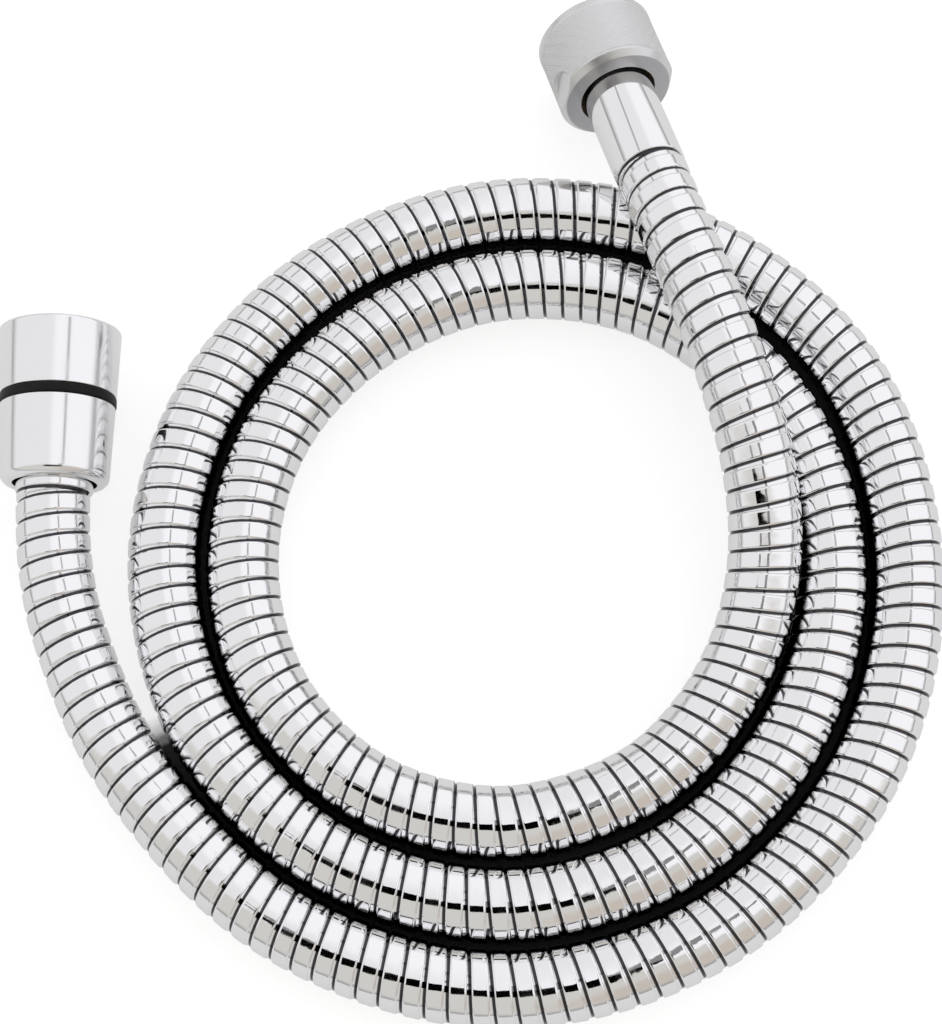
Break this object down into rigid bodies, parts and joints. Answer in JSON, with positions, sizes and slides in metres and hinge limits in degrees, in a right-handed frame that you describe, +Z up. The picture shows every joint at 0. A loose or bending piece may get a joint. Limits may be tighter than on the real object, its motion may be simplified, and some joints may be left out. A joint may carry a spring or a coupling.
{
  "type": "flexible metal shower hose",
  "caption": "Chrome strip-wound shower hose lying coiled, with a conical union nut at one end and a knurled union nut with spanner flats at the other.",
  "frame": {"origin": "the middle of the bounding box, on the surface the hose rests on", "axes": "+Z up, the coil lying flat; +Y towards the open mouths of both nuts; +X from the conical nut towards the knurled nut"},
  "size_m": [0.1828, 0.201, 0.0299],
  "materials": {
    "chrome": "bright polished chrome plate",
    "satin_chrome": "chrome plate over a fine knurl, satin",
    "brass": "turned, bare",
    "black_rubber": "smooth, matt",
    "grey_rubber": "smooth, matt"
  },
  "bodies": {
    "hose": {"strip_hose": "chrome", "liner_tube": "grey_rubber", "hand_end_nipple": "brass", "hand_end_crimp_ring": "brass", "hand_end_sleeve": "chrome", "tap_end_nipple": "brass", "tap_end_crimp_ring": "brass", "tap_end_sleeve": "chrome"},
    "hand_end_nut": {"conical_nut": "chrome", "grip_ring": "black_rubber", "hand_end_washer": "black_rubber"},
    "tap_end_nut": {"knurled_nut": "satin_chrome", "tap_end_washer": "black_rubber"}
  },
  "joints": [
    {"name": "conical_nut_spin", "type": "hinge", "parent": "hose", "child": "hand_end_nut", "pos_m": [-0.07944, 0.01632, 0.01136], "axis": [0.0077, -0.9991, -0.0427], "continuous": true},
    {"name": "knurled_nut_spin", "type": "hinge", "parent": "hose", "child": "tap_end_nut", "pos_m": [0.02806, 0.08882, 0.01362], "axis": [0.2753, -0.9293, 0.2461], "continuous": true}
  ]
}
